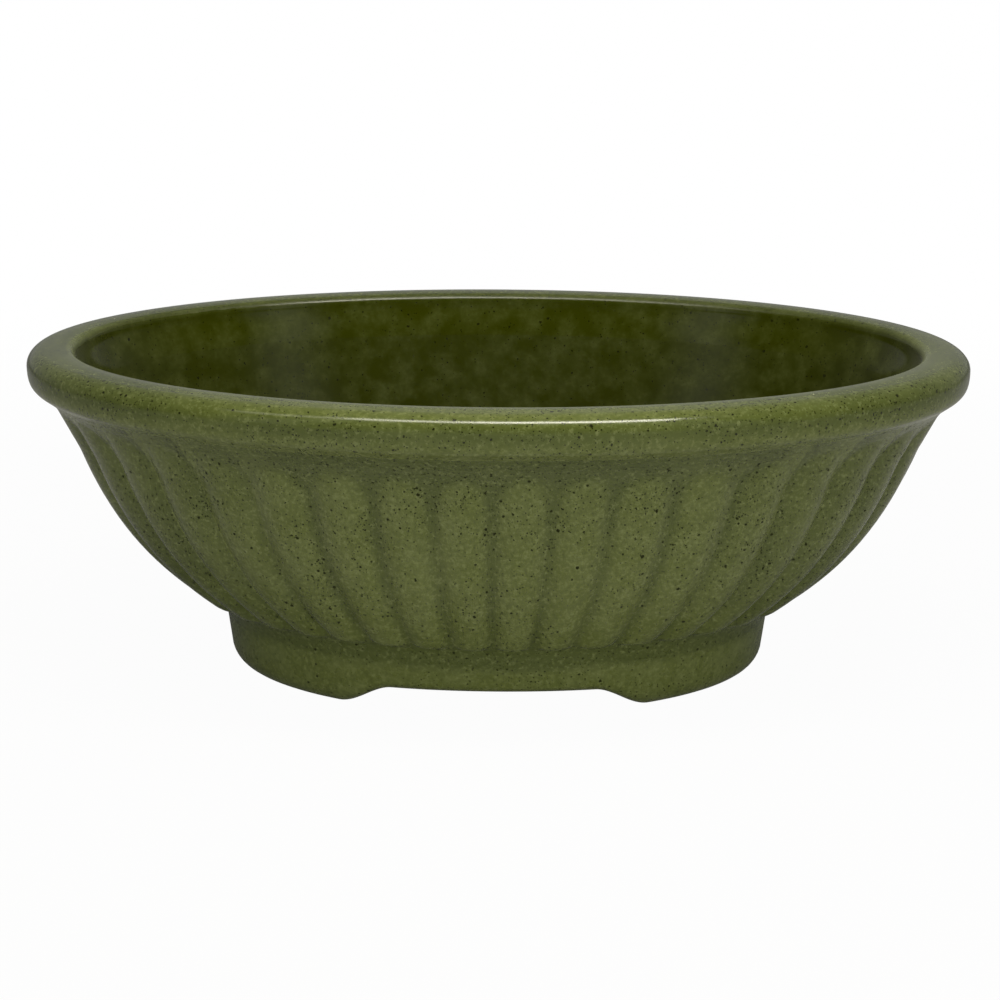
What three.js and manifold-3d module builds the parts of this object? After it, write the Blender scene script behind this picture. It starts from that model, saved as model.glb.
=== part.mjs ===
// Oval planter bowl in glazed stoneware: a reeded wall between a rounded rim and a notched foot.
// Millimetres, +Z up, +X along the oval. The origin is on the table, under the middle of the foot.

import * as THREE from 'three';
import { mergeVertices } from 'three/addons/utils/BufferGeometryUtils.js';
import Module from 'manifold-3d';

// Overall sizes, outside the rim
const rimLength = 305;
const rimWidth = 208;
const height = 106;

// Rim band: a flat-topped roll that stands out past the wall all round
const rimHeight = 14.3;
const rimTopWidth = 15.5;
const rimOverhang = 12;
const rimNoseDrop = 5.5;
const rimShoulder = 6.5;
const rimUnderRise = 1.5;
const rimFullness = 0.7;
const mouthRadius = 3;

// Wall: its plan grows from the foot outline to the rim, along one curved profile
const wallLip = 7.3;
const wallBase = 17;
const bellyOut = 21;
const bellyUp = 13.2;
const shoulderIn = 10.6;
const shoulderDown = 40;
const basinOut = 33;
const basinUp = 14;

// Cove: the top of the wall flares out to the rim in a hollow curve
const coveOut = 7;
const coveHeight = 18;

// Reeds: raised, round-ended panels that run down the wall side by side
const reedCount = 40;
const reedDepth = 1.8;
const reedRoundness = 2.6;
const reedToeGap = 3;
const reedHeadGap = 7.5;
const reedToeLength = 8;
const reedHeadLength = 9;

// Floor and foot: sizes of the foot are taken at the crease under the wall
const footLength = 181;
const footWidth = 132;
const footHeight = 21.6;
const footTaper = 2.8;
const footThickness = 13;
const footOuterEdge = 4;
const footInnerEdge = 1.5;
const floorThickness = 10;
const floorSeat = 6;
const seatClearance = 0.3;

// Notches: one low arch through the foot at the front and one at the back
const notchLength = 97;
const notchRamp = 15;
const notchHeight = 8.5;

// Facets, and small lengths that only the modelling needs
const roundSteps = 80;
const curveSteps = 3;
const stepsPerReed = 6;
const endRows = 3;
const middleRows = 3;
const coveRows = 3;
const basinRows = 4;
const arcSamples = 20;
const cutMargin = 5;
const slopeStep = 0.01;
const weldGap = 1e-4;

// Levels and outlines that the sizes above lead to
const wallTop = height - rimHeight;
const floorUnder = footHeight - floorThickness;
const floorEdge = floorSeat - footThickness;
const mouthOffset = rimOverhang - rimTopWidth;
const wallOutline = { a: rimLength / 2 - rimOverhang, b: rimWidth / 2 - rimOverhang };
const footOutline = { a: footLength / 2, b: footWidth / 2 };
const lipOutline = { a: wallOutline.a - wallLip, b: wallOutline.b - wallLip };
const basinOutline = { a: footOutline.a - wallBase, b: footOutline.b - wallBase };

const wasm = await Module();
wasm.setup();

// Angles that cut the rim's oval into equal lengths, so the reeds are evenly spaced.
function evenAngles(count) {
  const oval = new THREE.EllipseCurve(0, 0, wallOutline.a, wallOutline.b);
  oval.arcLengthDivisions = arcSamples * count;
  const angles = [];
  for (let i = 0; i < count; i += 1) {
    angles.push(2 * Math.PI * oval.getUtoTmapping(i / count));
  }
  return angles;
}

function ovalPoint(outline, angle, z) {
  return new THREE.Vector3(outline.a * Math.cos(angle), outline.b * Math.sin(angle), z);
}

function grown(outline, offset) {
  return { a: outline.a + offset, b: outline.b + offset };
}

// Triangles over a stack of equal rings. A closed stack joins its last ring to its first,
// and an open one is capped by a fan at each end.
function skin(rings, closed) {
  const around = rings[0].length;
  const points = rings.flat();
  const faces = [];
  const spans = closed ? rings.length : rings.length - 1;
  for (let i = 0; i < spans; i += 1) {
    const low = i * around;
    const high = ((i + 1) % rings.length) * around;
    for (let j = 0; j < around; j += 1) {
      const next = (j + 1) % around;
      faces.push(low + j, low + next, high + next);
      faces.push(low + j, high + next, high + j);
    }
  }
  if (!closed) {
    const lastRing = (rings.length - 1) * around;
    const bottomCentre = points.push(new THREE.Vector3(0, 0, rings[0][0].z)) - 1;
    const topCentre = points.push(new THREE.Vector3(0, 0, rings.at(-1)[0].z)) - 1;
    for (let j = 0; j < around; j += 1) {
      const next = (j + 1) % around;
      faces.push(bottomCentre, next, j);
      faces.push(topCentre, lastRing + j, lastRing + next);
    }
  }
  const geometry = new THREE.BufferGeometry().setFromPoints(points);
  geometry.setIndex(faces);
  geometry.computeVertexNormals();
  return geometry;
}

// Sweeps a section round an oval. Section points are offsets from the outline, and heights.
function sweepSection(section, outline, closed) {
  const angles = evenAngles(roundSteps);
  const stations = section.getPoints(curveSteps);
  if (closed) stations.pop();
  const rings = stations.map(({ x, y }) => angles.map((angle) => ovalPoint(grown(outline, x), angle, y)));
  return skin(rings, closed);
}

function toSolid(geometry) {
  const plain = geometry.clone();
  plain.deleteAttribute('normal');
  plain.deleteAttribute('uv');
  const merged = mergeVertices(plain, weldGap);
  const mesh = new wasm.Mesh({
    numProp: 3,
    vertProperties: new Float32Array(merged.attributes.position.array),
    triVerts: new Uint32Array(merged.index.array),
  });
  return new wasm.Manifold(mesh);
}

function toGeometry(solid) {
  const { vertProperties, triVerts } = solid.getMesh();
  const geometry = new THREE.BufferGeometry();
  geometry.setAttribute('position', new THREE.BufferAttribute(vertProperties, 3));
  geometry.setIndex(new THREE.BufferAttribute(triVerts, 1));
  geometry.computeVertexNormals();
  return geometry;
}

// Wall profiles on the long axis: x is the half length of the oval, y is the height.
function wallProfile(from, to, outHandle, upHandle) {
  return new THREE.CubicBezierCurve(
    new THREE.Vector2(from.a, footHeight),
    new THREE.Vector2(from.a + outHandle, footHeight + upHandle),
    new THREE.Vector2(to.a - shoulderIn, wallTop - shoulderDown),
    new THREE.Vector2(to.a, wallTop),
  );
}

// A point on a wall profile, carried round the oval. The plan changes evenly between its two outlines.
function wallPoint(profile, from, to, along, angle, flare) {
  const share = THREE.MathUtils.clamp(along / profile.getLength(), 0, 1);
  const { x, y } = profile.getPointAt(share);
  const b = THREE.MathUtils.mapLinear(x, from.a, to.a, from.b, to.b);
  return ovalPoint(grown({ a: x, b }, flare), angle, y);
}

// How far the wall stands out in the cove, which starts level with the wall and ends under the rim.
function coveFlare(along, wallRun) {
  const share = THREE.MathUtils.clamp((along - wallRun) / coveHeight + 1, 0, 1);
  return coveOut * share ** 2;
}

// Height of a reed above the plain wall. Across runs from -1 to 1, from one groove to the next.
function reedRise(across, along, wallRun) {
  const toe = (reedToeGap + reedToeLength - along) / reedToeLength;
  const head = (along - wallRun + reedHeadGap + reedHeadLength) / reedHeadLength;
  const end = Math.max(0, toe, head);
  const crown = 1 - Math.abs(across) ** reedRoundness - end ** reedRoundness;
  return reedDepth * Math.sqrt(Math.max(0, crown));
}

// Rows up the wall, closer together where the reeds' ends are rounded off.
function reedRows(wallRun) {
  const toeTop = reedToeGap + reedToeLength;
  const headTop = wallRun - reedHeadGap;
  const headFoot = headTop - reedHeadLength;
  const rows = [0];
  for (let i = 0; i < endRows; i += 1) {
    rows.push(toeTop - reedToeLength * Math.cos((i * Math.PI) / 2 / endRows));
  }
  for (let i = 0; i <= middleRows; i += 1) {
    rows.push(THREE.MathUtils.lerp(toeTop, headFoot, i / middleRows));
  }
  for (let i = 1; i <= endRows; i += 1) {
    rows.push(headFoot + reedHeadLength * Math.sin((i * Math.PI) / 2 / endRows));
  }
  for (let i = 1; i <= coveRows; i += 1) {
    rows.push(THREE.MathUtils.lerp(headTop, wallRun, i / coveRows));
  }
  return rows;
}

function flutedWall() {
  const outer = wallProfile(footOutline, wallOutline, bellyOut, bellyUp);
  const basin = wallProfile(basinOutline, lipOutline, basinOut, basinUp);
  const wallRun = outer.getLength();
  const basinRun = basin.getLength();
  const angles = evenAngles(reedCount * stepsPerReed);
  const outside = (along, angle) => {
    const flare = coveFlare(along, wallRun);
    return wallPoint(outer, footOutline, wallOutline, along, angle, flare);
  };
  const inside = (along, angle) => wallPoint(basin, basinOutline, lipOutline, along, angle, 0);

  const raised = (along, angle, column) => {
    const across = (2 * (column % stepsPerReed)) / stepsPerReed - 1;
    const up = outside(along + slopeStep, angle).sub(outside(along - slopeStep, angle));
    const round = outside(along, angle + slopeStep).sub(outside(along, angle - slopeStep));
    const normal = round.cross(up).normalize();
    return outside(along, angle).addScaledVector(normal, reedRise(across, along, wallRun));
  };

  const rows = reedRows(wallRun);
  const rings = rows.map((along) => angles.map((angle, column) => raised(along, angle, column)));
  for (let i = basinRows; i >= 0; i -= 1) {
    rings.push(angles.map((angle) => inside((basinRun * i) / basinRows, angle)));
  }
  return skin(rings, true);
}

function rimBand() {
  const nose = height - rimNoseDrop;
  const section = new THREE.Path();
  section.moveTo(-wallLip, wallTop);
  section.lineTo(coveOut, wallTop);
  section.bezierCurveTo(
    THREE.MathUtils.lerp(coveOut, rimOverhang, rimFullness), wallTop + rimUnderRise,
    rimOverhang, THREE.MathUtils.lerp(nose, wallTop, rimFullness),
    rimOverhang, nose,
  );
  section.absellipse(rimOverhang - rimShoulder, nose, rimShoulder, rimNoseDrop, 0, Math.PI / 2);
  section.absarc(mouthOffset + mouthRadius, height - mouthRadius, mouthRadius, Math.PI / 2, Math.PI);
  section.lineTo(-wallLip, wallTop);
  return sweepSection(section, wallOutline, true);
}

// Offset of the foot's outer face from the crease outline, which leans in towards the table.
function footFace(z) {
  return -footTaper * (1 - z / footHeight);
}

// The floor lies in a rebate of the foot ring, level with the crease. The wall covers its edge,
// so its top has a line where the basin starts.
function bowlFloor() {
  const edge = new THREE.Path();
  edge.moveTo(floorEdge, floorUnder);
  edge.lineTo(floorEdge, footHeight);
  edge.lineTo(-wallBase, footHeight);
  return sweepSection(edge, footOutline, false);
}

// The arch cut through the foot: both ends ramp down to the table in a smooth double curve.
function notchCutter() {
  const tip = notchLength / 2;
  const flat = tip - notchRamp;
  const bend = tip - notchRamp / 2;
  const arch = new THREE.Shape();
  arch.moveTo(tip, -cutMargin);
  arch.lineTo(tip, 0);
  arch.bezierCurveTo(bend, 0, bend, notchHeight, flat, notchHeight);
  arch.lineTo(-flat, notchHeight);
  arch.bezierCurveTo(-bend, notchHeight, -bend, 0, -tip, 0);
  arch.lineTo(-tip, -cutMargin);
  const depth = footWidth + 2 * cutMargin;
  const curveSegments = 2 * curveSteps;
  const cutter = new THREE.ExtrudeGeometry(arch, { depth, bevelEnabled: false, curveSegments });
  cutter.rotateX(Math.PI / 2);
  cutter.translate(0, depth / 2, 0);
  return cutter;
}

function footRing() {
  const section = new THREE.Path();
  section.moveTo(footFace(0) - footOuterEdge, 0);
  section.quadraticCurveTo(footFace(0), 0, footFace(footOuterEdge), footOuterEdge);
  section.lineTo(0, footHeight);
  section.lineTo(floorEdge + seatClearance, footHeight);
  section.lineTo(floorEdge + seatClearance, floorUnder);
  section.lineTo(-footThickness, floorUnder);
  section.lineTo(-footThickness, footInnerEdge);
  section.quadraticCurveTo(-footThickness, 0, footInnerEdge - footThickness, 0);
  section.lineTo(footFace(0) - footOuterEdge, 0);
  const ring = toSolid(sweepSection(section, footOutline, true));
  return toGeometry(ring.subtract(toSolid(notchCutter())));
}

function glazed(name, geometry, color, roughness) {
  const mesh = new THREE.Mesh(geometry, new THREE.MeshStandardMaterial({ color, roughness, metalness: 0 }));
  mesh.name = name;
  return mesh;
}

const planterBowl = new THREE.Group();
planterBowl.add(
  glazed('foot_ring', footRing(), '#4c522d', 0.5),
  glazed('bowl_floor', bowlFloor(), '#3f4418', 0.3),
  glazed('fluted_wall', flutedWall(), '#5d6139', 0.45),
  glazed('rim_band', rimBand(), '#707653', 0.35),
);

export default planterBowl;
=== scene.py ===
"""Oval planter bowl in speckled olive stoneware glaze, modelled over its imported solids."""

import math

import bpy
from bpy.props import FloatProperty, FloatVectorProperty, IntProperty, PointerProperty
from mathutils import Euler, Matrix, Vector


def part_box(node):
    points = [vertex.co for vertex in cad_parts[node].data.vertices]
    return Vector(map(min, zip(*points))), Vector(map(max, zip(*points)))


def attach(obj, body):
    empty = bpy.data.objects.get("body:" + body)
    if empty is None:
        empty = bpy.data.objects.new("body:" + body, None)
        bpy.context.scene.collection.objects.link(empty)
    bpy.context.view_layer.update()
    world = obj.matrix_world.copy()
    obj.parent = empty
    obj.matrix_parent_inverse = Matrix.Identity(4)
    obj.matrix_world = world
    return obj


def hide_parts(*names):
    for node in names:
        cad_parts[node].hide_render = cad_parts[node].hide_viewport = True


bl_info = {
    "name": "Planter Bowl",
    "version": (1, 0, 0),
    "blender": (4, 5, 0),
    "location": "3D View > Sidebar > Planter Bowl",
    "description": "Models an oval glazed planter bowl and the studio that it stands in",
    "category": "Object",
}

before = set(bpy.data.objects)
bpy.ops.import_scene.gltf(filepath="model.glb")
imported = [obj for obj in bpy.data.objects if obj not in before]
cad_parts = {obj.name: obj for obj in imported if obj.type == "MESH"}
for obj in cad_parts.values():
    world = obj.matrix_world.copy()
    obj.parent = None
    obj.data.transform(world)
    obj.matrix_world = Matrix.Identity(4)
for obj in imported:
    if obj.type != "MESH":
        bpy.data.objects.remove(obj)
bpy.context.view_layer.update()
RIM_LOW, RIM_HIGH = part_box("rim_band")
WALL_LOW, WALL_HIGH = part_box("fluted_wall")
FLOOR_LOW, FLOOR_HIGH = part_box("bowl_floor")
FOOT_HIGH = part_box("foot_ring")[1]
MM = 0.001

# Points round the rim, the foot and the floor, rows down the basin, and the angle that keeps an edge crisp
RIM_COLUMNS = 480
FOOT_COLUMNS = 800
FLOOR_COLUMNS = 240
BASIN_ROWS = 26
CRISP_ANGLE = math.radians(38)


def linear(code):
    """An sRGB hex value as linear red, green and blue."""
    shares = [int(code[i : i + 2], 16) / 255 for i in (1, 3, 5)]
    return tuple(s / 12.92 if s <= 0.04045 else ((s + 0.055) / 1.055) ** 2.4 for s in shares)


class BowlSizes(bpy.types.PropertyGroup):
    """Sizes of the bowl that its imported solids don't give directly."""

    reed_count: IntProperty(name="Reeds", description="Raised reeds round the wall", default=40, min=8)
    reed_depth: FloatProperty(
        name="Reed depth",
        description="Height of a reed above its grooves at the ends",
        default=2.2 * MM,
        unit="LENGTH",
    )
    reed_head_gap: FloatProperty(
        name="Head gap", description="Plain wall above the reeds at the front", default=6 * MM, unit="LENGTH"
    )
    reed_end_gap: FloatProperty(
        name="End gap", description="Plain wall above the reeds at the ends", default=2.5 * MM, unit="LENGTH"
    )
    reed_drift: FloatProperty(
        name="Reed drift", description="How far the side reeds lie towards the ends, in reeds", default=0.13
    )
    reed_head_length: FloatProperty(
        name="Head length",
        description="Length over which a reed's head rounds off",
        default=12 * MM,
        unit="LENGTH",
    )
    reed_toe_gap: FloatProperty(
        name="Toe gap", description="Plain wall below the reeds", default=3.4 * MM, unit="LENGTH"
    )
    reed_toe_length: FloatProperty(
        name="Toe length",
        description="Length over which a reed's toe rounds off",
        default=6.5 * MM,
        unit="LENGTH",
    )
    lip: FloatProperty(
        name="Lip", description="Thickness of the wall under the rim", default=7.3 * MM, unit="LENGTH"
    )
    basin_flat: FloatProperty(
        name="Basin flat",
        description="Half length of the level part of the basin",
        default=58 * MM,
        unit="LENGTH",
    )
    rim_top: FloatProperty(
        name="Rim top", description="Width of the rim, seen from above", default=15.5 * MM, unit="LENGTH"
    )
    rim_nose: FloatProperty(
        name="Rim nose",
        description="Drop from the rim's top to its widest line",
        default=5.5 * MM,
        unit="LENGTH",
    )
    rim_shoulder: FloatProperty(
        name="Rim shoulder", description="Width of the rim's outer rounding", default=6.5 * MM, unit="LENGTH"
    )
    mouth_radius: FloatProperty(
        name="Mouth radius", description="Rounding of the rim's inner edge", default=3 * MM, unit="LENGTH"
    )
    arris_radius: FloatProperty(
        name="Arris radius", description="Rounding of the rim's lower edge", default=1.0 * MM, unit="LENGTH"
    )
    cove_out: FloatProperty(
        name="Cove flare",
        description="How far the wall flares out under the rim",
        default=7 * MM,
        unit="LENGTH",
    )
    cove_height: FloatProperty(
        name="Cove height", description="Length of wall over which it flares", default=18 * MM, unit="LENGTH"
    )
    foot_lean: FloatProperty(
        name="Foot lean",
        description="How far the foot leans in towards the table",
        default=2.8 * MM,
        unit="LENGTH",
    )
    foot_thickness: FloatProperty(
        name="Foot thickness",
        description="Thickness of the foot ring at the crease",
        default=13 * MM,
        unit="LENGTH",
    )
    foot_edge: FloatProperty(
        name="Foot edge", description="Rounding of the foot's outer edge", default=5.5 * MM, unit="LENGTH"
    )
    foot_fillet: FloatProperty(
        name="Foot fillet", description="Height of the fillet below the crease", default=5 * MM, unit="LENGTH"
    )
    notch_length: FloatProperty(
        name="Notch length", description="Length of a notch at the table", default=98 * MM, unit="LENGTH"
    )
    notch_ramp: FloatProperty(
        name="Notch ramp", description="Length of each end of a notch", default=17 * MM, unit="LENGTH"
    )
    notch_height: FloatProperty(
        name="Notch height", description="Height of a notch in the middle", default=7.4 * MM, unit="LENGTH"
    )
    notch_sag: FloatProperty(
        name="Notch sag",
        description="Fall of a notch's top towards its ends",
        default=1.3 * MM,
        unit="LENGTH",
    )


class GlazeColours(bpy.types.PropertyGroup):
    """Colours of the glaze and of the clay under it."""

    body: FloatVectorProperty(
        name="Body", description="Glaze at its usual thickness", subtype="COLOR", default=linear("#5d652e")
    )
    # Pale glaze of the clouds and flecks; a pool value below zero also paints light in this colour
    thin_and_lit: FloatVectorProperty(
        name="Thin",
        description="Glaze where it breaks over an edge",
        subtype="COLOR",
        default=linear("#767d4c"),
    )
    # Dark glaze of pools and patches, and also the colour of the shade painted in with the pool values
    pooled_and_shaded: FloatVectorProperty(
        name="Pooled",
        description="Glaze that ran into the grooves",
        subtype="COLOR",
        default=linear("#485023"),
    )
    # Partly a thicker glaze and partly painted shade: darker and more saturated for the shade inside the bowl
    basin: FloatVectorProperty(
        name="Basin", description="Thicker glaze inside the bowl", subtype="COLOR", default=linear("#2d3200")
    )
    speck: FloatVectorProperty(
        name="Speck", description="Iron specks that bled through", subtype="COLOR", default=linear("#1f2300")
    )
    pinhole: FloatVectorProperty(
        name="Pinhole", description="Pale clay in a pinhole", subtype="COLOR", default=linear("#c9c8a4")
    )
    clay: FloatVectorProperty(
        name="Clay", description="Bare fired clay under the foot", subtype="COLOR", default=linear("#a08a6c")
    )


class StudioSetup(bpy.types.PropertyGroup):
    """The floor, the lamps and the camera."""

    floor: FloatVectorProperty(
        name="Floor", description="Colour of the plain floor", subtype="COLOR", default=linear("#bcbcba")
    )
    room: FloatVectorProperty(
        name="Room",
        description="Colour of the room round the bowl",
        subtype="COLOR",
        default=linear("#ffffff"),
    )
    glow: FloatVectorProperty(
        name="Glow", description="Colour of the overhead lamps", subtype="COLOR", default=linear("#fffaec")
    )
    key_power: FloatProperty(
        name="Overhead power",
        description="Power of the main overhead lamp",
        default=1.7,
        unit="POWER",
    )
    sky_power: FloatProperty(
        name="Ceiling power",
        description="Power of the ceiling lamp",
        default=3.5,
        unit="POWER",
    )
    side_power: FloatProperty(
        name="Side power",
        description="Power of the side lamp",
        default=3.0,
        unit="POWER",
    )
    front_power: FloatProperty(
        name="Front power",
        description="Power of the front lamp",
        default=14.6,
        unit="POWER",
    )
    eye: FloatVectorProperty(
        name="Eye",
        description="Place of the camera",
        subtype="TRANSLATION",
        default=(0.01326, -0.75948, 0.26157),
    )
    swing: FloatProperty(
        name="Swing", description="Turn of the camera round Z", subtype="ANGLE", default=math.radians(0.93)
    )
    dip: FloatProperty(
        name="Dip", description="Downward slope of the view", subtype="ANGLE", default=math.radians(15.35)
    )
    roll: FloatProperty(
        name="Roll",
        description="Turn of the camera about its view",
        subtype="ANGLE",
        default=math.radians(0.269),
    )
    lens: FloatProperty(name="Lens", description="Focal length of the camera", default=85.65, unit="CAMERA")


def add(tree, kind, inputs=None, **settings):
    """Adds one node. Inputs are values, or the sockets that feed them; settings are the node's own fields."""
    made = tree.nodes.new(kind)
    for name, value in settings.items():
        setattr(made, name, value)
    for name, value in (inputs or {}).items():
        if isinstance(value, bpy.types.NodeSocket):
            tree.links.new(value, made.inputs[name])
        else:
            made.inputs[name].default_value = value
    return made


def pitch(millimetres):
    """The texture scale at which a pattern repeats about every so many millimetres."""
    return 1 / (millimetres * MM)


def spots(tree, place, cell, radius, share):
    """Mask of round spots, one to a cell, in a share of the cells. Cell and radius are in millimetres."""
    smallest, largest = 0.45 * radius / cell, 1.2 * radius / cell
    solid, gone = 0.6, 1.1
    cells = add(tree, "ShaderNodeTexVoronoi", {"Vector": place, "Scale": pitch(cell)})
    chance = add(tree, "ShaderNodeSeparateColor", {"Color": cells.outputs["Color"]})
    size = add(
        tree,
        "ShaderNodeMapRange",
        {"Value": chance.outputs["Green"], "To Min": smallest, "To Max": largest},
    )
    depth = add(
        tree,
        "ShaderNodeMath",
        {0: cells.outputs["Distance"], 1: size.outputs["Result"]},
        operation="DIVIDE",
    )
    round_spot = add(
        tree,
        "ShaderNodeMapRange",
        {"Value": depth.outputs[0], "From Min": solid, "From Max": gone, "To Min": 1.0, "To Max": 0.0},
        interpolation_type="SMOOTHSTEP",
    )
    there = add(tree, "ShaderNodeMath", {0: chance.outputs["Red"], 1: share}, operation="LESS_THAN")
    mask = add(tree, "ShaderNodeMath", {0: round_spot.outputs[0], 1: there.outputs[0]}, operation="MULTIPLY")
    return mask.outputs[0]


def opaque(colour):
    """A colour as a socket takes it, with full alpha."""
    return (*colour, 1.0)


def layered(tree, base, layers):
    """Lays colours over a base colour, one after another, each as strongly as its own mask says."""
    shade = opaque(base)
    for mask, colour in layers:
        inputs = {0: mask, 6: shade, 7: opaque(colour)}
        shade = add(tree, "ShaderNodeMix", inputs, data_type="RGBA", clamp_factor=True).outputs[2]
    return shade


def blank(owner):
    """The emptied node tree of a new material or world."""
    owner.use_nodes = True
    owner.node_tree.nodes.clear()
    return owner.node_tree


def olive_glaze(name, roughness, peppering, speck_matt):
    """Speckled olive glaze on stoneware, dipped and fired.

    To the eye it is a satin glass over a mottled green body. It is darker where it pooled in grooves and
    where shade is painted into it, paler where light is painted over an edge, and peppered with iron specks
    that gather in loose clusters.
    Roughness is that of the plain skin, peppering is how thickly the specks lie outside the bowl, and
    speck_matt is how much rougher than the skin they are.
    """
    colours = bpy.context.scene.bowl_glaze
    material = bpy.data.materials.new(name)
    tree = blank(material)
    place = add(tree, "ShaderNodeTexCoord").outputs["Object"]
    pool_and_shade = add(tree, "ShaderNodeAttribute", attribute_name="pool_and_shade").outputs["Fac"]
    inside = add(tree, "ShaderNodeAttribute", attribute_name="inside").outputs["Fac"]

    # Clouds of about 8 mm, patches of about 1.4 mm, and a drift of about 22 mm that gathers pools, the shade
    # painted with them, and specks
    clouds = add(
        tree, "ShaderNodeTexNoise", {"Vector": place, "Scale": pitch(8), "Detail": 3.0, "Roughness": 0.6}
    ).outputs["Fac"]
    patches = add(
        tree, "ShaderNodeTexNoise", {"Vector": place, "Scale": pitch(1.4), "Detail": 3.0, "Roughness": 0.7}
    ).outputs["Fac"]
    drift = add(
        tree, "ShaderNodeTexNoise", {"Vector": place, "Scale": pitch(22), "Detail": 3.0}
    ).outputs["Fac"]

    # Paler in the clouds, and where light is painted over edges by a pool value below zero; darker in pools
    # and in the shade painted with them; mottled by the patches; and darkest inside the bowl, which is partly
    # painted shade
    cloudy = add(
        tree, "ShaderNodeMapRange", {"Value": clouds, "From Min": 0.35, "From Max": 0.75, "To Max": 0.45}
    ).outputs["Result"]
    painted_light = add(
        tree, "ShaderNodeMapRange", {"Value": pool_and_shade, "From Min": 0.0, "From Max": -0.6}
    ).outputs["Result"]
    paler = add(tree, "ShaderNodeMath", {0: cloudy, 1: painted_light}, operation="MAXIMUM").outputs[0]
    sunk_and_shaded = add(tree, "ShaderNodeMath", {0: pool_and_shade, 1: drift}, operation="MULTIPLY", use_clamp=True).outputs[0]
    sunk_and_shaded = add(tree, "ShaderNodeMapRange", {"Value": sunk_and_shaded, "From Max": 0.55, "To Max": 0.9}).outputs["Result"]
    patchy = add(
        tree, "ShaderNodeMapRange", {"Value": patches, "From Min": 0.42, "From Max": 0.72, "To Max": 0.7}
    ).outputs["Result"]
    flecked = add(
        tree, "ShaderNodeMapRange", {"Value": patches, "From Min": 0.47, "From Max": 0.3, "To Max": 0.65}
    ).outputs["Result"]
    flowed = add(
        tree,
        "ShaderNodeMapRange",
        {"Value": clouds, "From Min": 0.38, "From Max": 0.7, "To Min": 1.0, "To Max": 0.77},
    ).outputs["Result"]
    deep = add(tree, "ShaderNodeMath", {0: inside, 1: flowed}, operation="MULTIPLY").outputs[0]

    # Iron specks of three sizes, ragged at the edge, that crowd together in places and in the grooves
    raggedness = 0.7
    shift = raggedness * MM
    wobble = add(tree, "ShaderNodeTexNoise", {"Vector": place, "Scale": pitch(raggedness)}).outputs["Color"]
    ragged = add(
        tree,
        "ShaderNodeVectorMath",
        {0: wobble, 1: (shift, shift, shift), 2: place},
        operation="MULTIPLY_ADD",
    ).outputs["Vector"]
    clusters = add(
        tree,
        "ShaderNodeMapRange",
        {"Value": drift, "From Min": 0.36, "From Max": 0.66, "To Min": 0.08, "To Max": 0.6},
    ).outputs["Result"]
    crowd = add(tree, "ShaderNodeMath", {0: pool_and_shade, 1: 0.16, 2: clusters}, operation="MULTIPLY_ADD").outputs[0]
    strewn = add(
        tree, "ShaderNodeMapRange", {"Value": inside, "To Min": peppering, "To Max": 0.3}
    ).outputs["Result"]
    crowd = add(tree, "ShaderNodeMath", {0: crowd, 1: strewn}, operation="MULTIPLY").outputs[0]
    dusty = add(tree, "ShaderNodeMath", {0: crowd, 1: 1.5}, operation="MULTIPLY").outputs[0]
    dust = spots(tree, ragged, cell=0.85, radius=0.27, share=dusty)
    pepper = spots(tree, ragged, cell=1.5, radius=0.4, share=crowd)
    iron = spots(tree, ragged, cell=2.8, radius=0.57, share=crowd)
    specks = add(tree, "ShaderNodeMath", {0: pepper, 1: iron}, operation="MAXIMUM").outputs[0]
    specks = add(tree, "ShaderNodeMath", {0: dust, 1: specks}, operation="MAXIMUM").outputs[0]

    # A few pinholes outside the bowl
    open_skin = add(
        tree, "ShaderNodeMapRange", {"Value": inside, "To Min": 0.6, "To Max": 0.0}
    ).outputs["Result"]
    pinholes = spots(tree, ragged, cell=15, radius=0.5, share=open_skin)
    layers = (
        (paler, colours.thin_and_lit),
        (sunk_and_shaded, colours.pooled_and_shaded),
        (patchy, colours.pooled_and_shaded),
        (flecked, colours.thin_and_lit),
        (deep, colours.basin),
        (specks, colours.speck),
        (pinholes, colours.pinhole),
    )
    shade = layered(tree, colours.body, layers)

    # The fired skin ripples like orange peel, about 1.2 mm from crest to crest and some 10 microns deep
    peel = add(
        tree, "ShaderNodeTexNoise", {"Vector": place, "Scale": pitch(1.2), "Detail": 2.0}
    ).outputs["Fac"]
    ripple = add(
        tree, "ShaderNodeBump", {"Height": peel, "Strength": 0.6, "Distance": 0.02 * MM}
    ).outputs["Normal"]

    # It is duller in the clouds and on the specks, and dullest where the rim turns into the basin
    dull = add(
        tree,
        "ShaderNodeMapRange",
        {"Value": clouds, "From Min": 0.3, "From Max": 0.7, "To Min": roughness, "To Max": roughness + 0.08},
    ).outputs["Result"]
    brim = add(
        tree, "ShaderNodeMapRange", {"Value": inside, "To Min": 1.0, "To Max": -0.03}
    ).outputs["Result"]
    dull = add(tree, "ShaderNodeMath", {0: inside, 1: brim, 2: dull}, operation="MULTIPLY_ADD").outputs[0]
    grain = add(
        tree, "ShaderNodeMapRange", {"Value": inside, "To Min": speck_matt, "To Max": 0.0}
    ).outputs["Result"]
    dull = add(tree, "ShaderNodeMath", {0: specks, 1: grain, 2: dull}, operation="MULTIPLY_ADD").outputs[0]
    skin = add(
        tree,
        "ShaderNodeBsdfPrincipled",
        {
            "Base Color": shade,
            "Roughness": dull,
            "IOR": 1.45,
            "Sheen Weight": 0.05,
            "Sheen Roughness": 0.4,
            "Normal": ripple,
        },
    )
    add(tree, "ShaderNodeOutputMaterial", {"Surface": skin.outputs["BSDF"]})
    return material


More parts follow.
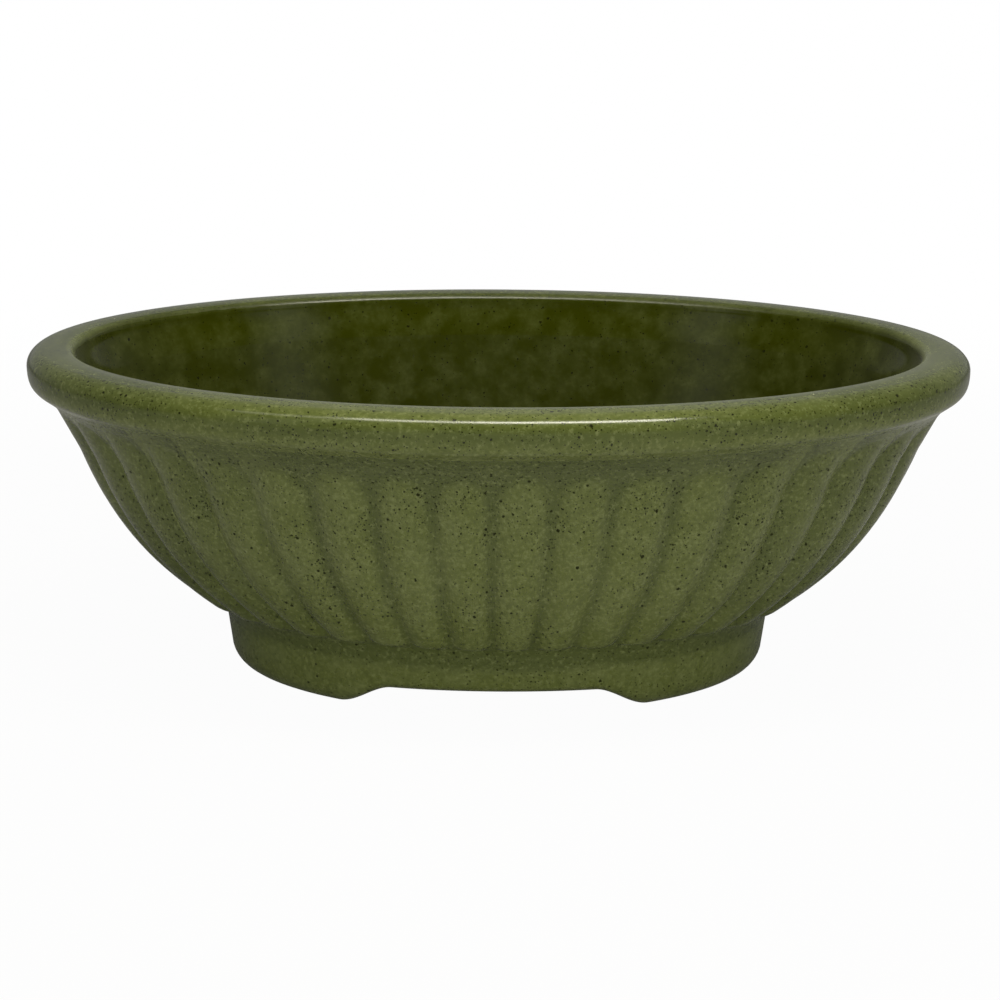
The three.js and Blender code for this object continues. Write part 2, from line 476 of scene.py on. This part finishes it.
def bare_clay(name):
    """Fired stoneware with no glaze, wiped clean under the foot. It is dull, buff and gritty."""
    colours = bpy.context.scene.bowl_glaze
    material = bpy.data.materials.new(name)
    tree = blank(material)
    place = add(tree, "ShaderNodeTexCoord").outputs["Object"]
    grit = add(
        tree, "ShaderNodeTexNoise", {"Vector": place, "Scale": pitch(0.7), "Detail": 3.0, "Roughness": 0.7}
    ).outputs["Fac"]
    stain = add(
        tree, "ShaderNodeTexNoise", {"Vector": place, "Scale": pitch(12), "Detail": 2.0}
    ).outputs["Fac"]
    toned = add(
        tree, "ShaderNodeMapRange", {"Value": stain, "From Min": 0.3, "From Max": 0.7, "To Max": 0.35}
    ).outputs["Result"]
    flecks = spots(tree, place, cell=2.4, radius=0.4, share=0.35)
    shade = layered(tree, colours.clay, ((toned, colours.thin_and_lit), (flecks, colours.speck)))
    tooth = add(tree, "ShaderNodeBump", {"Height": grit, "Strength": 0.8, "Distance": 0.12 * MM})
    skin = add(
        tree,
        "ShaderNodeBsdfPrincipled",
        {"Base Color": shade, "Roughness": 0.85, "IOR": 1.5, "Normal": tooth.outputs["Normal"]},
    )
    add(tree, "ShaderNodeOutputMaterial", {"Surface": skin.outputs["BSDF"]})
    return material


def spread(low, high, steps):
    """Evenly spaced values from low to high, both included."""
    return [low + (high - low) * i / steps for i in range(steps + 1)]


def bend(start, first, second, end, steps):
    """Points along one cubic curve, from its start to its end."""
    points = []
    for i in range(steps + 1):
        t = i / steps
        s = 1 - t
        pulls = (s**3, 3 * s * s * t, 3 * s * t * t, t**3)
        corners = (start, first, second, end)
        points.append(tuple(sum(p * c[k] for p, c in zip(pulls, corners)) for k in (0, 1)))
    return points


def corner(centre, across, up, start, stop, steps):
    """Points round an elliptical corner, between two turns in degrees."""
    turns = [math.radians(degrees) for degrees in spread(start, stop, steps)]
    return [(centre[0] + across * math.cos(t), centre[1] + up * math.sin(t)) for t in turns]


def smooth(share):
    """An even rise from 0 to 1 that starts and ends level."""
    t = min(1.0, max(0.0, share))
    return t * t * (3 - 2 * t)


def endward(turn, start, length):
    """How far a turn lies towards the ends of the oval, as a smooth rise over a length of its cosine."""
    return smooth((abs(math.cos(turn)) - start) / length)


def even_turns(half_length, half_width, shares):
    """Turns round an oval at which the way round it has reached each share of the whole."""
    samples = 14400
    step = 2 * math.pi / samples
    run = [0.0]
    for i in range(samples):
        middle = (i + 0.5) * step
        run.append(run[-1] + step * math.hypot(half_length * math.sin(middle), half_width * math.cos(middle)))
    turns = []
    i = 0
    for share in shares:
        goal = share * run[-1]
        while run[i + 1] < goal:
            i += 1
        turns.append(step * (i + (goal - run[i]) / (run[i + 1] - run[i])))
    return turns


def raise_ovals(name, turns, ovals, closed):
    """Extrudes one oval ring through a list of ovals, each a half length, a half width and a height.

    A closed stack is bridged from its last oval to its first. An open one is drawn to a point at each end.
    The ring's points are set at their turns in code, since the circle tool only spaces them by equal angles.
    """
    bpy.ops.object.select_all(action="DESELECT")
    bpy.ops.mesh.primitive_circle_add(vertices=len(turns), radius=1.0, fill_type="NOTHING")
    piece = bpy.context.object
    piece.name = name
    piece.data.name = name
    for vertex, turn in zip(piece.data.vertices, turns):
        vertex.co = (math.cos(turn), math.sin(turn), 0)
    bpy.ops.object.mode_set(mode="EDIT")
    bpy.ops.mesh.select_mode(type="VERT")
    bpy.ops.mesh.select_all(action="SELECT")
    a, b, z = ovals[0]
    bpy.ops.transform.resize(value=(a, b, 1), center_override=(0, 0, 0))
    bpy.ops.transform.translate(value=(0, 0, z))
    for next_a, next_b, next_z in ovals[1:]:
        bpy.ops.mesh.extrude_edges_move(TRANSFORM_OT_translate={"value": (0, 0, next_z - z)})
        bpy.ops.transform.resize(value=(next_a / a, next_b / b, 1), center_override=(0, 0, next_z))
        a, b, z = next_a, next_b, next_z
    bpy.ops.mesh.select_all(action="DESELECT")
    bpy.ops.mesh.select_non_manifold()
    if closed:
        bpy.ops.mesh.bridge_edge_loops()
    else:
        bpy.ops.mesh.merge(type="COLLAPSE")
    bpy.ops.mesh.select_all(action="SELECT")
    bpy.ops.mesh.normals_make_consistent(inside=False)
    bpy.ops.object.mode_set(mode="OBJECT")
    return piece


def lift(piece, name, weights, reach, direction):
    """Moves a piece's points by up to a reach, each by its own weight, and applies the move."""
    group = piece.vertex_groups.new(name=name)
    alike = {}
    for index, weight in enumerate(weights):
        if weight > 0:
            alike.setdefault(round(weight, 6), []).append(index)
    for weight, indices in alike.items():
        group.add(indices, weight, "REPLACE")
    bpy.ops.object.modifier_add(type="DISPLACE")
    modifier = piece.modifiers[-1]
    modifier.vertex_group = name
    modifier.direction = direction
    modifier.mid_level = 0.0
    modifier.strength = reach
    bpy.ops.object.modifier_apply(modifier=modifier.name)
    piece.vertex_groups.clear()


def tint(piece, name, values):
    """Stores one number for each point, which the glaze reads."""
    attribute = piece.data.attributes.new(name, "FLOAT", "POINT")
    attribute.data.foreach_set("value", values)


def dress(piece, material, node):
    """Smooths a finished piece, glazes it and puts it in the place of its solid."""
    bpy.ops.object.shade_smooth_by_angle(angle=CRISP_ANGLE)
    piece.data.materials.append(material)
    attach(piece, "root")
    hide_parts(node)


def wall_top(sizes):
    """Half length and half width of the wall's top, without its flare under the rim."""
    return WALL_HIGH.x - sizes.cove_out, WALL_HIGH.y - sizes.cove_out


def widening(sizes):
    """How far the wall widens to the front for each step that it widens to the ends."""
    top_a, top_b = wall_top(sizes)
    return (top_b - FOOT_HIGH.y) / (top_a - FOOT_HIGH.x)


def reed_rise(out, side):
    """Height of a reed, as a share of the full depth, at a point that lies so far out towards its outline.

    The reeds at the front are flat-topped and a little lower, and those at the ends are round-topped.
    """
    front_height, flatness, roundness = 0.85, 1.65, 1.2
    flat_topped = front_height * (1 + math.cos(math.pi * out**flatness)) / 2
    round_topped = math.cos(math.pi / 2 * out**roundness)
    return (1 - side) * flat_topped + side * round_topped


class ShapeWall(bpy.types.Operator):
    """Models the reeded wall and the basin inside it"""

    bl_idname = "planter_bowl.shape_wall"
    bl_label = "Reeded wall"

    def execute(self, context):
        sizes = context.scene.bowl_sizes
        foot_a, foot_b, crease = FOOT_HIGH.x, FOOT_HIGH.y, WALL_LOW.z
        top_a, top_b = wall_top(sizes)
        top = WALL_HIGH.z
        widen = widening(sizes)

        # The outside, sampled finely so that rows can be set by their distance up the wall
        samples = 600
        low_pull = (foot_a + 21 * MM, crease + 13.2 * MM)
        high_pull = (top_a - 10.6 * MM, top - 40 * MM)
        outline = bend((foot_a, crease), low_pull, high_pull, (top_a, top), steps=samples)
        runs = [0.0]
        for (a0, z0), (a1, z1) in zip(outline, outline[1:]):
            runs.append(runs[-1] + math.hypot(a1 - a0, z1 - z0))
        wall_run = runs[-1]
        toe = sizes.reed_toe_gap
        toe_top = toe + sizes.reed_toe_length
        head = wall_run - sizes.reed_head_gap
        head_foot = head - sizes.reed_head_length

        # Bands of the wall and the rows in each, which are closest where the reeds round off
        bands = (
            (0, toe, 3),
            (toe, toe_top, 14),
            (toe_top, head_foot, 16),
            (head_foot, head, 15),
            (head, wall_run, 8),
        )
        rows = [along for band in bands for along in spread(*band)[:-1]] + [wall_run]
        ovals = []
        for along in rows:
            i = min(range(len(runs)), key=lambda k: abs(runs[k] - along))
            a, z = outline[i]
            flare = sizes.cove_out * max(0.0, 1 - (wall_run - along) / sizes.cove_height) ** 2
            ovals.append((a + flare, foot_b + widen * (a - foot_a) + flare, z))

        # The basin: one sweep from the lip down to the level floor, which narrows less than it shortens
        lip_a, lip_b = top_a - sizes.lip, top_b - sizes.lip
        flat_a = sizes.basin_flat
        easing = 0.94
        narrow = lip_b / lip_a * easing
        flat_b = lip_b - narrow * (lip_a - flat_a)
        lip_pull = (lip_a - 9 * MM, top - 34 * MM)
        flat_pull = (flat_a + 45 * MM, crease + 0.4 * MM)
        flat_edge = (flat_a, crease + 0.02 * MM)
        sweep = bend((lip_a, top), lip_pull, flat_pull, flat_edge, steps=BASIN_ROWS)
        ovals += [(a, flat_b + narrow * (a - flat_a), z) for a, z in sweep]

        # Columns crowd into the flanks of each reed, where the surface turns most
        flank, flank_columns, top_columns = 0.36, 7, 6
        across = spread(-1, flank - 1, flank_columns)[:-1]
        across += spread(flank - 1, 1 - flank, top_columns)[:-1]
        across += spread(1 - flank, 1, flank_columns)[:-1]

        # The reeds between the front and the ends lie a little towards the ends. Lengths here are in reeds.
        places = [reed + (u + 1) / 2 for reed in range(sizes.reed_count) for u in across]
        quarter = sizes.reed_count / 4
        drift_start, drift_rise, drift_fall = 1.5, 3, 2.2
        shares = []
        for place in places:
            off = (place % (2 * quarter)) - quarter
            drift = smooth((abs(off) - drift_start) / drift_rise) * smooth((quarter - abs(off)) / drift_fall)
            shares.append((place + math.copysign(sizes.reed_drift * drift, off)) / sizes.reed_count)
        turns = even_turns(top_a, top_b, shares)
        lower = sizes.reed_head_gap - sizes.reed_end_gap
        gaps = [sizes.reed_end_gap + lower * math.sin(turn) ** 2 for turn in turns]
        wall = raise_ovals("glazed_wall", turns, ovals, closed=True)

        # A reed's rise and the darker pool beside it, by the distance out towards the reed's outline. The
        # pool is partly glaze that ran into the grooves and the crease, and partly painted shade in them and
        # in the plain bands above and below the reeds. Towards the ends of the oval the shade is painted
        # darker on the flank that faces the middle.
        toe_squareness, head_squareness = 3.6, 2.3
        crease_depth, crease_reach, crease_length = 1.3, 1.4, 5 * MM
        groove_width = 0.4
        end_shade_level, end_shade_slope = 0.4, 0.75
        weights, pooled_and_shaded = [], []
        for along in rows:
            in_toe = max(0.0, (toe_top - along) / sizes.reed_toe_length)
            power = toe_squareness if in_toe else head_squareness
            crease_pool_and_shade = crease_depth * smooth(crease_reach - along / crease_length)
            for u, turn, gap in zip(across * sizes.reed_count, turns, gaps):
                side = endward(turn, start=0.35, length=0.45)
                in_head = max(0.0, 1 - (wall_run - gap - along) / sizes.reed_head_length)
                out = min(1.0, (abs(u) ** power + max(in_toe, in_head) ** power) ** (1 / power))
                weights.append(reed_rise(out, side))
                edge = 1 - smooth((1 - out) / groove_width)
                inward = math.copysign(u, u * math.sin(2 * turn))
                groove_pool_and_shade = (1 - side) * edge + side * (end_shade_level + end_shade_slope * inward)
                pooled_and_shaded.append(max(crease_pool_and_shade, groove_pool_and_shade))
        plain = [0.0] * (len(sweep) * len(turns))
        lift(wall, "reeds", weights + plain, sizes.reed_depth, "NORMAL")
        tint(wall, "pool_and_shade", pooled_and_shaded + plain)
        tint(wall, "inside", [0.0] * len(weights) + [1.0] * len(plain))
        glaze = olive_glaze("olive_glaze_dipped_wall", roughness=0.2, peppering=1.0, speck_matt=0.6)
        dress(wall, glaze, "fluted_wall")
        return {"FINISHED"}


class ShapeRim(bpy.types.Operator):
    """Models the rolled rim and the fine arris along its lower edge"""

    bl_idname = "planter_bowl.shape_rim"
    bl_label = "Rolled rim"

    def execute(self, context):
        sizes = context.scene.bowl_sizes
        wall_a, wall_b = wall_top(sizes)
        base, top = RIM_LOW.z, RIM_HIGH.z
        out = RIM_HIGH.x - wall_a
        nose = top - sizes.rim_nose
        crown = 0.2 * MM
        brow = top - crown
        arris = sizes.arris_radius
        mouth = out - sizes.rim_top
        radius = sizes.mouth_radius
        shoulder = sizes.rim_shoulder

        # From the wall's top outwards, up the face, round the shoulder, over the top and down the mouth.
        # Distances across are from the wall's top outline, before its flare.
        section = [(-sizes.lip, base), (0.0, base), (0.6 * sizes.cove_out, base)]
        arris_start = len(section) - 1
        section += corner((sizes.cove_out, base + arris), arris, arris, -90, -35, steps=5)
        edge = section[-1]
        face_pull = (edge[0] + 2.9 * MM, edge[1] + 2.0 * MM)
        section += bend(edge, face_pull, (out, nose - 6 * MM), (out, nose), steps=20)[1:]
        section += corner((out - shoulder, nose), shoulder, sizes.rim_nose - crown, 0, 90, steps=14)[1:]
        flat_from, flat_to = out - shoulder, mouth + radius
        for share in spread(0, 1, 6)[1:]:
            dome = crown * (1 - (2 * share - 1) ** 2)
            section.append((flat_from + (flat_to - flat_from) * share, brow + dome))
        mouth_start = len(section)
        section += corner((mouth + radius, brow - radius), radius, radius, 90, 180, steps=10)[1:]
        mouth_pull = (mouth, brow - radius - 3 * MM)
        lip_pull = (-sizes.lip + 1.06 * MM, base + 4 * MM)
        section += bend(section[-1], mouth_pull, lip_pull, (-sizes.lip, base), steps=8)[1:-1]

        turns = even_turns(wall_a, wall_b, spread(0, 1, RIM_COLUMNS)[:-1])
        ovals = [(wall_a + e, wall_b + e, z) for e, z in section]
        rim = raise_ovals("glazed_rim", turns, ovals, closed=True)

        # The face is darker, a painted shade, which fades towards the ends. Towards the ends the upper face
        # and the top are darkened instead by painted shade, and the arris is kept clear of it. At the back
        # painted shade darkens the rim from partway up the face, and the basin's colour, partly painted
        # shade, starts higher in the mouth.
        soft = 4 * MM
        arris_width = 1.5 * MM
        top_shade_strength, back_shade_strength, face_loss = 0.9, 0.7, 0.9
        back_rise, back_lead = 0.4, 0.35
        pooled_and_shaded, inner = [], []
        for i, (_, z) in enumerate(section):
            outer = i < mouth_start
            above = smooth((z - base - soft) / soft) if outer else 0.0
            face_shade = above * smooth((top - z) / soft)
            thin_and_lit = smooth(1 - (z - base - arris) / arris_width) if arris_start <= i < mouth_start else 0.0
            top_shade = top_shade_strength * above
            drop = (brow - z) / (radius + 0.5 * MM)
            for turn in turns:
                side = endward(turn, start=0.25, length=0.5)
                back = smooth(math.sin(turn) / back_rise)
                far = back_shade_strength * back * smooth((z - base - 2 * soft) / soft)
                pooled_and_shaded.append(max(far, face_shade * (1.0 - face_loss * side) + (top_shade - thin_and_lit) * side))
                inner.append(0.0 if outer else smooth(drop + back_lead * back))
        inner[: len(turns)] = [1.0] * len(turns)
        tint(rim, "pool_and_shade", pooled_and_shaded)
        tint(rim, "inside", inner)
        glaze = olive_glaze("olive_glaze_dipped_rim", roughness=0.12, peppering=0.85, speck_matt=0.05)
        dress(rim, glaze, "rim_band")
        return {"FINISHED"}


class ShapeFoot(bpy.types.Operator):
    """Models the foot ring, notched at the front and the back"""

    bl_idname = "planter_bowl.shape_foot"
    bl_label = "Notched foot"

    def execute(self, context):
        sizes = context.scene.bowl_sizes
        foot_a, foot_b, height = FOOT_HIGH.x, FOOT_HIGH.y, FOOT_HIGH.z
        under = FLOOR_LOW.z
        clearance = 0.3 * MM
        seat = FLOOR_HIGH.x - foot_a + clearance
        lean, edge, thickness = sizes.foot_lean, sizes.foot_edge, sizes.foot_thickness
        inner_edge = 1.5 * MM

        # A soft fillet under the wall, which widens less to the front than to the ends
        widen = widening(sizes)
        fillet = sizes.foot_fillet
        low = height - fillet
        section = bend(
            (0.84 * fillet, height + 0.55 * fillet),
            (0.26 * fillet, height + 0.19 * fillet),
            (0.0, height - 0.32 * fillet),
            (-lean * (1 - low / height), low),
            steps=10,
        )[:-1]

        # Down the outside, round the standing edge, up the hollow and round the seat of the floor
        face = [(-lean * (1 - z / height), z) for z in spread(low, edge, 10)]
        edge_pull = (face[-1][0] - lean * edge / height, 0.4 * edge)
        table_pull = (-lean - 0.45 * edge, 0.0)
        section += face + bend(face[-1], edge_pull, table_pull, (-lean - edge, 0.0), steps=8)[1:]
        section += [(e, 0.0) for e in spread(-lean - edge, inner_edge - thickness, 3)[1:]]
        hollow_corner = (inner_edge - thickness, inner_edge)
        section += corner(hollow_corner, inner_edge, inner_edge, -90, -180, steps=4)[1:]
        section += [(-thickness, z) for z in spread(inner_edge, under, 5)[1:]]
        section += [(seat, under), (seat, height), (0.0, height)]

        turns = even_turns(foot_a, foot_b, spread(0, 1, FOOT_COLUMNS)[:-1])
        ovals = [(foot_a + e, foot_b + (widen * e if e > 0 else e), z) for e, z in section]
        foot = raise_ovals("glazed_foot", turns, ovals, closed=True)

        # Darker glaze along the crease, partly glaze that pooled there and partly painted shade, and each
        # notch fades out up the foot
        pool_and_shade_depth, pool_and_shade_height = 2.2, 8 * MM
        fade = 15 * MM
        tip = sizes.notch_length / 2
        pooled_and_shaded, weights = [], []
        for vertex in foot.data.vertices:
            x, _, z = vertex.co
            pooled_and_shaded.append(pool_and_shade_depth * smooth(1 - (height - z) / pool_and_shade_height))
            arch = 1 - sizes.notch_sag / sizes.notch_height * (x / tip) ** 2
            weights.append(arch * smooth((tip - abs(x)) / sizes.notch_ramp) * max(0.0, 1 - z / fade))
        lift(foot, "notches", weights, sizes.notch_height, "Z")
        tint(foot, "pool_and_shade", pooled_and_shaded)
        tint(foot, "inside", [0.0] * len(pooled_and_shaded))
        glaze = olive_glaze("olive_glaze_dipped_foot", roughness=0.24, peppering=0.36, speck_matt=0.6)
        dress(foot, glaze, "foot_ring")

        # The face that stands on the table is wiped clean of glaze
        wiped = 0.05 * MM
        foot.data.materials.append(bare_clay("stoneware_clay_wiped_bare"))
        for polygon in foot.data.polygons:
            if polygon.center.z < wiped:
                polygon.material_index = 1
        return {"FINISHED"}


class ShapeFloor(bpy.types.Operator):
    """Models the floor between the basin and the hollow under the bowl"""

    bl_idname = "planter_bowl.shape_floor"
    bl_label = "Basin floor"

    def execute(self, context):
        edge_a, edge_b = FLOOR_HIGH.x, FLOOR_HIGH.y
        top, under = FLOOR_HIGH.z, FLOOR_LOW.z
        inset = 0.4 * MM
        shares = (0.01, 0.12, 0.25, 0.38, 0.5, 0.62, 0.74, 0.86)
        ovals = [(edge_a * s, edge_b * s, top) for s in shares]
        ovals += [(edge_a - inset, edge_b - inset, top), (edge_a, edge_b, top - inset)]
        top_rows = len(ovals)
        ovals += [(edge_a, edge_b, under + inset), (edge_a - inset, edge_b - inset, under)]
        ovals += [(edge_a * s, edge_b * s, under) for s in reversed(shares)]
        turns = even_turns(edge_a, edge_b, spread(0, 1, FLOOR_COLUMNS)[:-1])
        slab = raise_ovals("glazed_floor", turns, ovals, closed=False)
        upper = [1.0 if vertex.co.z > (top + under) / 2 else 0.0 for vertex in slab.data.vertices]
        if len(upper) < top_rows * len(turns):
            raise RuntimeError("the basin floor lost rows while its middle was closed")
        tint(slab, "pool_and_shade", [0.0] * len(upper))
        tint(slab, "inside", upper)
        glaze = olive_glaze("olive_glaze_poured_basin", roughness=0.2, peppering=1.0, speck_matt=0.0)
        dress(slab, glaze, "bowl_floor")
        return {"FINISHED"}


class SetStudio(bpy.types.Operator):
    """Sets the floor, the lamps, the room and the camera"""

    bl_idname = "planter_bowl.set_studio"
    bl_label = "Studio"

    def execute(self, context):
        scene = context.scene
        studio = scene.bowl_studio
        bpy.ops.object.select_all(action="DESELECT")
        bpy.ops.mesh.primitive_plane_add(size=16, location=(0, 0, 0))
        floor = context.object
        floor.name = "studio_floor"
        floor.data.materials.append(self.matt_floor(studio))

        # A warm soft box overhead, a little to the front and right, with two dimmer ones to its left.
        # Each row gives a name, a place along the bowl, a length and a share of the power.
        overheads = (("box", 0.09, 0.26, 1.0), ("wing", -0.11, 0.14, 0.3), ("tail", -0.28, 0.2, 0.08))
        depth = 0.098
        for name, x, span, share in overheads:
            place = (x, -0.19, 0.57)
            overhead = self.lamp("overhead_" + name, place, (span, depth), share * studio.key_power)
            overhead.data.color = studio.glow

        # The glaze of the photographed bowl mirrors no other lamp, so the three fill lamps give no highlight
        fills = (
            ("side_box", (1.4, -0.6, 0.35), (1.0, 0.6), studio.side_power),
            ("front_box", (0.0, -1.7, 0.4), (1.4, 0.7), studio.front_power),
            ("ceiling_box", (0.3, 0.1, 1.5), (1.4, 1.4), studio.sky_power),
        )
        for name, place, spans, power in fills:
            self.lamp(name, place, spans, power).visible_glossy = False
        self.room(scene, studio)

        bpy.ops.object.camera_add(location=studio.eye)
        camera = context.object
        aim = Euler((math.pi / 2 - studio.dip, 0, studio.swing)).to_matrix()
        camera.rotation_euler = (aim @ Matrix.Rotation(studio.roll, 3, "Z")).to_euler()
        camera.data.sensor_width = 36
        camera.data.lens = studio.lens
        scene.camera = camera
        scene.view_settings.view_transform = "Standard"
        return {"FINISHED"}

    def lamp(self, name, place, spans, power):
        """Adds a soft box that faces the middle of the bowl."""
        bpy.ops.object.light_add(type="AREA", location=place)
        lamp = bpy.context.object
        lamp.name = name
        lamp.data.shape = "RECTANGLE"
        lamp.data.size, lamp.data.size_y = spans
        lamp.data.energy = power
        back = (Vector(place) - Vector((0, 0, RIM_LOW.z))).normalized()
        across = (Vector((1, 0, 0)) - back * back.x).normalized()
        lamp.rotation_euler = Matrix((across, back.cross(across), back)).transposed().to_euler()
        return lamp

    def matt_floor(self, studio):
        """Matt white paint, rolled on.

        Close to the bowl the eye sees a faint trace of its shadow, and further out plain white.
        """
        material = bpy.data.materials.new("matt_white_paint_rolled")
        tree = blank(material)
        place = add(tree, "ShaderNodeTexCoord").outputs["Object"]
        away = add(tree, "ShaderNodeVectorMath", {0: place}, operation="LENGTH").outputs["Value"]
        far = add(
            tree,
            "ShaderNodeMapRange",
            {"Value": away, "From Min": 0.2, "From Max": 0.7, "To Min": 0.97},
            interpolation_type="SMOOTHSTEP",
        ).outputs["Result"]
        seen = add(tree, "ShaderNodeLightPath").outputs["Is Camera Ray"]
        share = add(tree, "ShaderNodeMath", {0: far, 1: seen}, operation="MULTIPLY").outputs[0]
        matt = add(tree, "ShaderNodeBsdfDiffuse", {"Color": opaque(studio.floor)}).outputs["BSDF"]
        plain = add(tree, "ShaderNodeEmission", {"Strength": 1.0}).outputs["Emission"]
        mixed = add(tree, "ShaderNodeMixShader", {0: share, 1: matt, 2: plain}).outputs["Shader"]
        add(tree, "ShaderNodeOutputMaterial", {"Surface": mixed})
        return material

    def room(self, scene, studio):
        """A room that is paler behind the bowl than in front, and plain white where the camera sees it.

        The basin mirrors two soft pale bands in it, ahead of the bowl to the left and the right.
        """
        world = bpy.data.worlds.new("studio_room")
        scene.world = world
        tree = blank(world)
        way = add(tree, "ShaderNodeTexCoord").outputs["Generated"]
        axes = add(tree, "ShaderNodeSeparateXYZ", {"Vector": way}).outputs
        level = add(
            tree,
            "ShaderNodeMapRange",
            {"Value": axes["Y"], "From Min": -0.3, "From Max": 0.9, "To Min": 0.02, "To Max": 0.26},
        ).outputs["Result"]
        flat = add(
            tree, "ShaderNodeVectorMath", {0: way, 1: (1, 1, 0)}, operation="MULTIPLY"
        ).outputs["Vector"]
        flat = add(tree, "ShaderNodeVectorMath", {0: flat}, operation="NORMALIZE").outputs["Vector"]
        round_axes = add(tree, "ShaderNodeSeparateXYZ", {"Vector": flat}).outputs
        aside = add(tree, "ShaderNodeMath", {0: round_axes["X"]}, operation="ABSOLUTE").outputs[0]
        ahead = add(
            tree,
            "ShaderNodeMapRange",
            {"Value": round_axes["Y"], "From Min": -0.3, "From Max": -0.5, "To Max": 0.5},
        ).outputs["Result"]
        band_start, band_crest, band_end = 0.5, 0.67, 0.84
        rise = add(
            tree,
            "ShaderNodeMapRange",
            {"Value": aside, "From Min": band_start, "From Max": band_crest},
            interpolation_type="SMOOTHSTEP",
        ).outputs["Result"]
        fall = add(
            tree,
            "ShaderNodeMapRange",
            {"Value": aside, "From Min": band_end, "From Max": band_crest},
            interpolation_type="SMOOTHSTEP",
        ).outputs["Result"]
        band = add(tree, "ShaderNodeMath", {0: rise, 1: fall}, operation="MULTIPLY").outputs[0]
        level = add(
            tree, "ShaderNodeMath", {0: band, 1: ahead, 2: level}, operation="MULTIPLY_ADD"
        ).outputs[0]
        seen = add(tree, "ShaderNodeLightPath").outputs["Is Camera Ray"]
        level = add(tree, "ShaderNodeMath", {0: level, 1: seen}, operation="MAXIMUM").outputs[0]
        sky = add(
            tree, "ShaderNodeBackground", {"Color": opaque(studio.room), "Strength": level}
        ).outputs["Background"]
        add(tree, "ShaderNodeOutputWorld", {"Surface": sky})


class BowlPanel(bpy.types.Panel):
    """Lists the sizes, the colours and the steps of the bowl"""

    bl_idname = "VIEW3D_PT_planter_bowl"
    bl_label = "Planter Bowl"
    bl_space_type = "VIEW_3D"
    bl_region_type = "UI"
    bl_category = "Planter Bowl"

    def draw(self, context):
        scene = context.scene
        groups = {"Sizes": scene.bowl_sizes, "Glaze": scene.bowl_glaze, "Studio": scene.bowl_studio}
        for title, group in groups.items():
            box = self.layout.box()
            box.label(text=title)
            for name in group.__annotations__:
                box.prop(group, name)
        for step in STEPS:
            self.layout.operator(step.bl_idname)


GROUPS = {"bowl_sizes": BowlSizes, "bowl_glaze": GlazeColours, "bowl_studio": StudioSetup}
STEPS = (ShapeFoot, ShapeFloor, ShapeWall, ShapeRim, SetStudio)


def register():
    for name, group in GROUPS.items():
        bpy.utils.register_class(group)
        setattr(bpy.types.Scene, name, PointerProperty(type=group))
    for step in (*STEPS, BowlPanel):
        bpy.utils.register_class(step)


def unregister():
    for step in (BowlPanel, *reversed(STEPS)):
        bpy.utils.unregister_class(step)
    for name, group in GROUPS.items():
        delattr(bpy.types.Scene, name)
        bpy.utils.unregister_class(group)


def main():
    register()
    bpy.ops.planter_bowl.shape_foot()
    bpy.ops.planter_bowl.shape_floor()
    bpy.ops.planter_bowl.shape_wall()
    bpy.ops.planter_bowl.shape_rim()
    bpy.ops.planter_bowl.set_studio()


if __name__ == "__main__":
    main()
